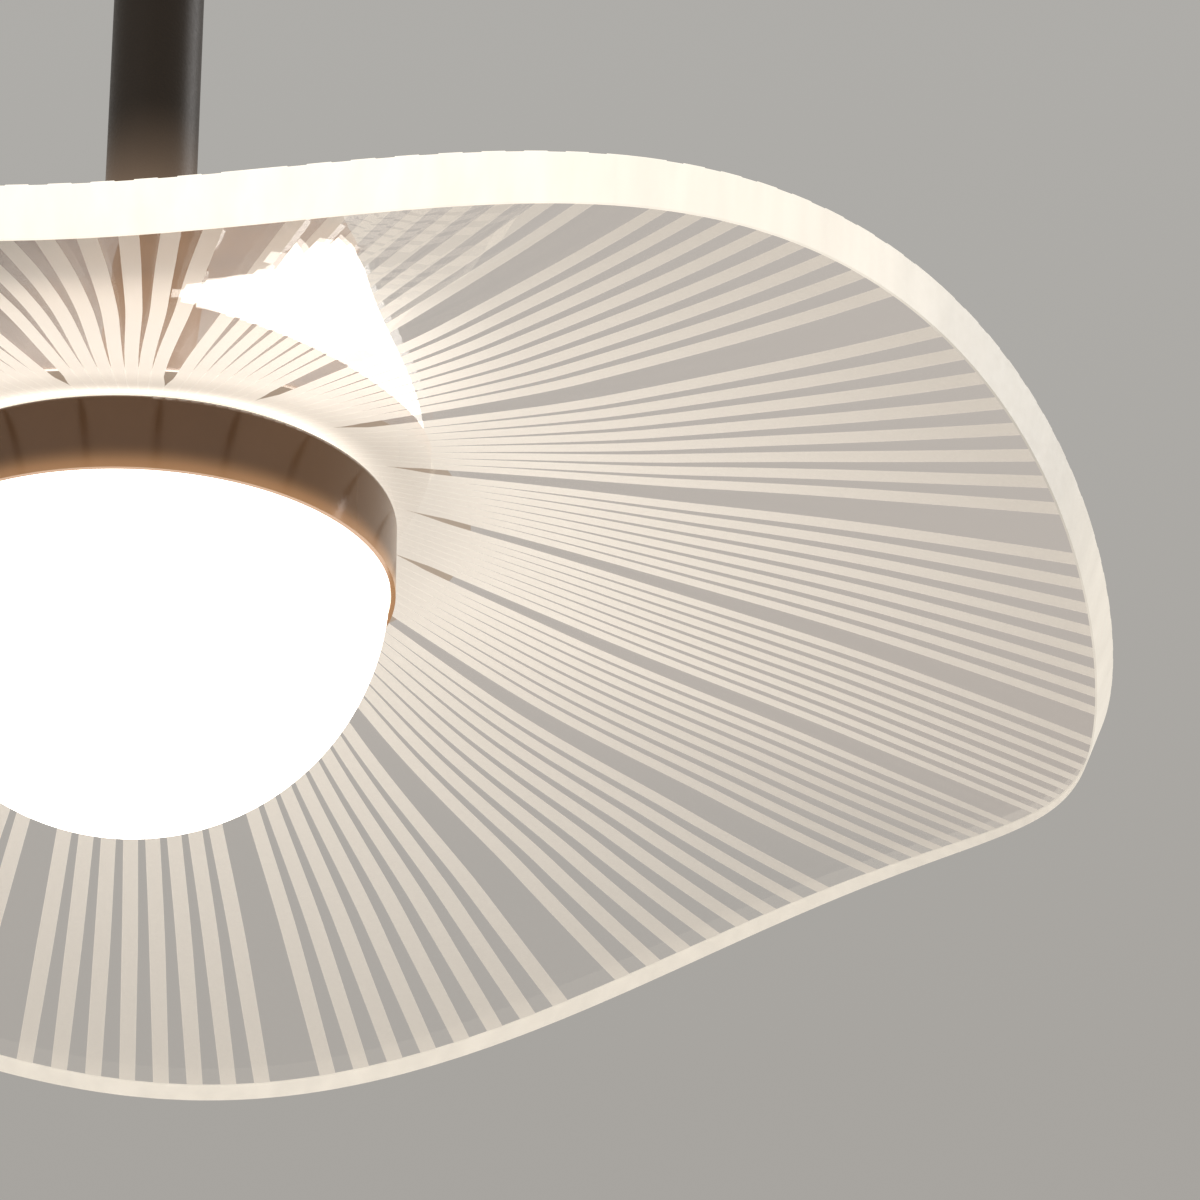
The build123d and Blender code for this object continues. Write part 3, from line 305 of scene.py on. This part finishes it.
def clear_acrylic():
    """Polished clear sheet with faint wipe marks in its gloss.

    A painted glow for the light in it shows a little from inside, most of all at the front of the
    hub.
    """
    made, n = material("clear_acrylic")
    place = n.place()
    _, y, _ = n.axes(place)
    # Painted glow: stronger towards the front, strongest at the front of the hub
    glow = n.span(y, 0.10, 0.03, 0.030, 0.140, smooth=True)
    front = n.span(n.distance(place, 0.0, -0.070), 0.22, 0.0, 0.015, 0.070, smooth=True)
    glow = n.math("ADD", glow, front)
    n.shader(
        Base_Color=(0.985, 0.982, 0.978, 1.0),
        Roughness=n.span(n.noise(60.0, 5.0), 0.0, 0.02, 0.45, 0.8),
        IOR=1.49,
        Transmission_Weight=1.0,
        Emission_Color=(1.0, 0.72, 0.56, 1.0),
        Emission_Strength=n.math("MULTIPLY", glow, n.inside()),
    )
    return made


def lit_bars():
    """Engraved bars: frosted white, brightest beside the hub, with painted light that makes them
    brightest in the front.
    """
    made, n = material("engraved_bars")
    place = n.place()
    out = n.radius(place)
    _, y, _ = n.axes(place)
    # Dimmer beside the hub and towards the rim; that the fall towards the rim is smaller at the
    # back is painted light
    fall = n.span(y, 0.27, 0.18, -0.020, 0.060, smooth=True)
    glow = n.span(out, 0.66, 0.81, 0.058, 0.085, smooth=True)
    glow = n.math("SUBTRACT", glow, n.span(out, 0.0, fall, 0.095, 0.200))
    # Painted light: brighter in the front, dimmer at the back
    front = n.span(n.distance(place, 0.0, -0.090), 0.33, 0.0, 0.040, 0.080, smooth=True)
    glow = n.math("ADD", glow, front)
    glow = n.math("SUBTRACT", glow, n.span(y, 0.0, 0.12, 0.020, 0.080, smooth=True))
    # The bore's light, at the hub, with painted light that makes it much stronger at the front
    hub = n.math("POWER", n.span(out, 1.0, 0.0, 0.049, 0.062), 2.0)
    glow = n.math("ADD", glow, n.math("MULTIPLY", hub, n.span(y, 1.9, 0.3, -0.048, -0.016)))
    n.shader(
        Base_Color=n.blend(n.noise(700.0), (0.255, 0.235, 0.215), (0.285, 0.265, 0.240)),
        Roughness=n.span(n.inside(), n.span(n.noise(900.0), 0.55, 0.75), 0.12),
        Normal=n.bump(n.noise(2200.0, 2.0), 0.00003),
        Emission_Color=(1.0, 0.918, 0.808, 1.0),
        Emission_Strength=n.math("MULTIPLY", glow, n.span(n.noise(1500.0, 2.0), 0.95, 1.05)),
    )
    return made


def lit_edge():
    """The sheet's sawn edge, where its light leaves it, with fine streaks, painted light at the
    front and painted shade at the front right.
    """
    made, n = material("lit_edge")
    place = n.place()
    _, y, _ = n.axes(place)
    # Painted light: much brighter at the front, and a little brighter at the back
    near = n.math("POWER", n.span(y, 1.0, 0.0, -0.205, -0.100), 2.2)
    glow = n.math("ADD", n.span(y, 0.655, 0.72, 0.020, 0.120), n.math("MULTIPLY", near, 0.42))
    # Painted shade: dimmer at the front right, where the studio light falls on it
    studio = n.span(n.distance(place, 0.170, -0.117), 0.19, 0.0, 0.015, 0.060, smooth=True)
    glow = n.math("SUBTRACT", glow, studio)
    streaks = n.span(n.noise(180.0, 3.0, (1.0, 1.0, 0.12)), 0.95, 1.05, 0.3, 0.7)
    n.shader(
        Base_Color=n.blend(n.noise(800.0), (0.20, 0.19, 0.17), (0.24, 0.23, 0.20)),
        Roughness=n.span(n.noise(600.0), 0.30, 0.50),
        Emission_Color=(1.0, 0.915, 0.790, 1.0),
        Emission_Strength=n.math("MULTIPLY", glow, streaks),
    )
    return made


def glowing(name, colour, strength, base, rough):
    """A lit plastic whose light is a little uneven."""
    made, n = material(name)
    n.shader(
        Base_Color=n.blend(n.noise(40.0), shade_of(base, 0.96), base),
        Roughness=n.span(n.noise(300.0), rough * 0.8, rough * 1.2),
        Emission_Color=(*colour, 1.0),
        Emission_Strength=n.span(n.noise(25.0, 1.0), strength * 0.94, strength * 1.06),
    )
    return made


acrylic = clear_acrylic()
bars = lit_bars()
edge = lit_edge()
bore_glow = glowing("lit_bore", (1.0, 0.93, 0.80), 0.95, (0.6, 0.58, 0.52), 0.3)
# Wedge tips painted brown with a painted warm glow, standing for the lit cap seen through them
painted_wedge_tip = grained(
    "wedge_tip", (0.07, 0.05, 0.035), 0.35, scale=400.0, bump=0.00001,
    Emission_Color=(1.0, 0.80, 0.62, 1.0), Emission_Strength=0.40,
)

FINISH = {
    "dark_brown_coat": rod_coat(),
    "brown_coat": housing_coat(),
    "clear_acrylic": acrylic,
    "opal_acrylic": glowing("opal_acrylic", (1.0, 0.965, 0.90), 3.0, (0.80, 0.78, 0.74), 0.28),
    "lit_lamp": glowing("lit_lamp", (1.0, 0.93, 0.78), 4.0, (0.85, 0.75, 0.45), 0.3),
    "white_board": board,
    "aluminium": aluminium,
    "zinc_steel": steel,
    "brass": brass,
    "nylon": nylon,
    "driver_case": case,
    "silicone": silicone,
    "lead_jacket": jacket,
}
for part in frame["record"]["subparts"]:
    mesh = nodes[part["node"]].data
    mesh.materials.clear()
    mesh.materials.append(FINISH[part["material_slot"]])


# The shade's surface, as in the CAD but for the sag. Angles are in degrees, and z is from SHADE_Z

def rim_height(angle):
    return -SHADE_DROP + WAVE * cos(LOBES * radians(angle - CREST_ANGLE))


def rim_radius(angle):
    return FLAT_R + sqrt((SHEET_RADIUS - FLAT_R) ** 2 - rim_height(angle) ** 2)


def share_of(value, low, high):
    return min(1.0, max(0.0, (value - low) / (high - low)))


def eased(share):
    return share * share * (3 - 2 * share)


def facing(angle, direction, narrow):
    """1 in a direction, fading to nothing on the other side."""
    return ((1 + cos(radians(angle - direction))) / 2) ** narrow


def underside(radius, angle):
    t = max(0.0, (radius - FLAT_R) / (rim_radius(angle) - FLAT_R))
    cone = (sqrt(t * t + KNEE * KNEE) - KNEE) / (sqrt(1 + KNEE * KNEE) - KNEE)
    fall = (1 + BOW) * cone - BOW * t * t
    wave = WAVE * cos(LOBES * radians(angle - CREST_ANGLE)) * t ** WAVE_GROWTH
    start, deepest, end = SAG_RADII
    sag = SAG * eased(share_of(radius, start, deepest))
    sag *= 1 - eased(share_of(radius, deepest, end))
    return wave - SHADE_DROP * fall - sag * facing(angle, SAG_TOWARDS, SAG_NARROW)


def on_sheet(radius, angle, height):
    """A point at a height over the underside, measured square to the sheet."""
    turn = degrees(STEP / radius)
    outwards = (underside(radius + STEP, angle) - underside(radius - STEP, angle)) / (2 * STEP)
    around = (underside(radius, angle + turn) - underside(radius, angle - turn)) / (2 * STEP)
    stretch = sqrt(1 + outwards ** 2 + around ** 2)
    c, s = cos(radians(angle)), sin(radians(angle))
    x = radius * c + height * (-outwards * c + around * s) / stretch
    y = radius * s + height * (-outwards * s - around * c) / stretch
    z = SHADE_Z + underside(radius, angle) + height / stretch
    return x * MM, y * MM, z * MM


def strayed(radius, angle):
    """Where a bar lies, because the draped sheet pulls the bars out of even spacing."""
    moved = angle
    for most, direction, narrow, fading in STRAYS:
        kept = 1 - eased(share_of(radius, *fading)) if fading else 1
        moved += most * facing(angle, direction, narrow) * kept
    return moved


def half_width(radius, room, beside_wedge):
    """Half of a bar's width, in degrees, inside the room it has on that side."""
    half = (BAR_WIDTH_HUB + (BAR_WIDTH_RIM - BAR_WIDTH_HUB) * share_of(radius, *WIDENING)) / 2
    room = radians(room) * radius
    if beside_wedge:
        half = room - (room - half) * share_of(radius, WEDGE_TIP, WEDGE_TIP + WEDGE_ROUND)
    return degrees(min(half, room - SLIT / 2) / radius)


def column_angles(radius):
    """The plan angles of one group's mesh columns, and 1 for each that is engraved."""
    wall = degrees(WALL / radius)
    middle = (BARS - 1) / 2
    wedge = GROUP_ANGLE / 2 - middle * BAR_PITCH
    columns = []
    for bar in range(BARS):
        centre = (bar - middle) * BAR_PITCH
        first, last = bar == 0, bar == BARS - 1
        left = half_width(radius, wedge if first else BAR_PITCH / 2, first)
        right = half_width(radius, wedge if last else BAR_PITCH / 2, last)
        columns += [(centre - left, 0), (centre - left + wall, 1), (centre, 1)]
        columns += [(centre + right - wall, 1), (centre + right, 0)]
    end, following = columns[-1][0], columns[0][0] + GROUP_ANGLE
    parts = WEDGE_COLUMNS + 1
    columns += [(end + (following - end) * k / parts, 0) for k in range(1, parts)]
    return columns


def top_finish(radius):
    """Which finish a column has on the sheet's top face.

    The bars are frosted, and so is the sheet inside the tips of the slits and wedges; further out,
    the wedges' tips are painted brown with a painted warm glow.
    """
    def finish(column):
        if column >= BARS * BAR_COLUMNS - 1:
            return FROSTED if radius < WEDGE_TIP else TIP if radius < TIP_END else CLEAR
        if column % BAR_COLUMNS == BAR_COLUMNS - 1:
            return FROSTED if radius < SLIT_TIP else CLEAR
        return FROSTED
    return finish


def build_shade():
    """The sheet as one closed mesh: polished faces, engraved bars, lit edge and lit bore."""
    # Shares of the way from the flat to the rim; those from -1 to 0 cross the clamped flat
    rows = [-1.0, -0.5, 0.0] + [(i / ROWS) ** ROW_GROWTH for i in range(1, ROWS + 1)]
    verts, faces, kinds = [], [], []
    per_group = BARS * BAR_COLUMNS + WEDGE_COLUMNS
    count = per_group * GROUPS

    def ring(t, height, inset=0.0, engrave=0.0):
        start = len(verts)
        for group in range(GROUPS):
            turn = FIRST_GROUP + GROUP_ANGLE * group
            near = FLAT_R + max(t, 0.0) * (rim_radius(turn) - FLAT_R)
            for offset, engraved in column_angles(near):
                angle = strayed(near, turn + offset)
                reach = rim_radius(angle) - FLAT_R - inset if t > 0 else FLAT_R - BORE_R
                verts.append(on_sheet(FLAT_R + t * reach, angle, height - engrave * engraved))
        return start

    def join(first, second, finish):
        for i in range(count):
            j = (i + 1) % count
            faces.append((first + i, first + j, second + j, second + i))
            kinds.append(finish(i % per_group) if callable(finish) else finish)

    top, low = [], []
    for t in rows:
        inset = ARRIS if t == 1.0 else 0.0
        top.append(ring(t, SHEET_T, inset, ENGRAVED if t > GLOW_END else 0.0))
        low.append(ring(t, 0.0, inset))
    edge_high = ring(1.0, SHEET_T - ARRIS, 0.0, ENGRAVED)
    edge_low = ring(1.0, ARRIS)
    for k in range(len(rows) - 1):
        radius = FLAT_R + rows[k + 1] * (SHEET_RADIUS - FLAT_R)
        join(top[k + 1], top[k], top_finish(radius) if rows[k + 1] > GLOW_END else BORE)
        join(low[k], low[k + 1], CLEAR)
    join(edge_high, top[-1], EDGE)
    join(edge_low, edge_high, EDGE)
    join(low[-1], edge_low, EDGE)
    join(top[0], low[0], BORE)

    mesh = bpy.data.meshes.new("shade_sheet")
    mesh.from_pydata(verts, [], faces)
    for finish in (acrylic, bars, edge, bore_glow, painted_wedge_tip):    # CLEAR, FROSTED, EDGE, BORE, TIP
        mesh.materials.append(finish)
    mesh.polygons.foreach_set("material_index", kinds)
    mesh.shade_smooth()
    mesh.set_sharp_from_angle(angle=radians(SHARP))
    mesh.update()
    made = bpy.data.objects.new("shade_sheet", mesh)
    bpy.context.scene.collection.objects.link(made)
    return made


shade = build_shade()
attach(shade, "lamp")
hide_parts("shade_plate")


# Floor, backdrop and light

sides = ((-1, -1), (1, -1), (1, 1), (-1, 1))
corners = [(x * FLOOR_REACH, y * FLOOR_REACH, FLOOR_Z) for x, y in sides]
floor_mesh = bpy.data.meshes.new("floor")
floor_mesh.from_pydata(corners, [], [(0, 1, 2, 3)])
floor = bpy.data.objects.new("floor", floor_mesh)
bpy.context.scene.collection.objects.link(floor)
floor_finish, n = material("floor")
paint = n.add("ShaderNodeBsdfPrincipled", {
    "Base Color": n.blend(n.noise(3.0), shade_of(BACKDROP_LOW, 0.99), shade_of(BACKDROP_LOW, 1.01)),
    "Roughness": 0.9,
    "Specular IOR Level": 0.1,
}).outputs[0]
# Seen from underneath it is clear, so that it doesn't hide the lamp
clear = n.add("ShaderNodeBsdfTransparent").outputs[0]
two_sided = n.add("ShaderNodeMixShader", {0: n.inside(), 1: paint, 2: clear}).outputs[0]
n.add("ShaderNodeOutputMaterial", {"Surface": two_sided})
floor_mesh.materials.append(floor_finish)

world = bpy.data.worlds.new("studio")
bpy.context.scene.world = world
world.use_nodes = True
n = Nodes(world.node_tree)
# The camera, gloss and clear pieces see the backdrop; the rest gets plain light
ray = n.add("ShaderNodeLightPath").outputs
seen = n.math("MAXIMUM", ray["Is Camera Ray"], ray["Is Glossy Ray"])
seen = n.math("MAXIMUM", seen, ray["Is Transmission Ray"])
light_inputs = {"Color": LIGHT_COLOUR, "Strength": LIGHT_LEVEL}
light = n.add("ShaderNodeBackground", light_inputs).outputs[0]
_, _, upwards = n.axes(n.add("ShaderNodeTexCoord").outputs["Generated"])
fade = n.blend(n.span(upwards, 0.0, 1.0, *FADE), BACKDROP_LOW, BACKDROP_HIGH)
backdrop = n.add("ShaderNodeBackground", {"Color": fade, "Strength": 1.0}).outputs[0]
mixed = n.add("ShaderNodeMixShader", {0: seen, 1: light, 2: backdrop}).outputs[0]
n.add("ShaderNodeOutputWorld", {"Surface": mixed})


def soft_light(name, place, power, size):
    """A square lamp that points at the middle of the object."""
    data = bpy.data.lights.new(name, "AREA")
    data.energy = power
    data.size = size
    lamp = bpy.data.objects.new(name, data)
    lamp.location = place
    towards = Vector(LIT_POINT) - Vector(place)
    lamp.rotation_euler = towards.to_track_quat("-Z", "Y").to_euler()
    bpy.context.scene.collection.objects.link(lamp)


soft_light("key", (1.8, 0.4, 0.5), 14.0, 1.2)
soft_light("fill", (-1.6, -1.8, -0.4), 8.0, 1.5)
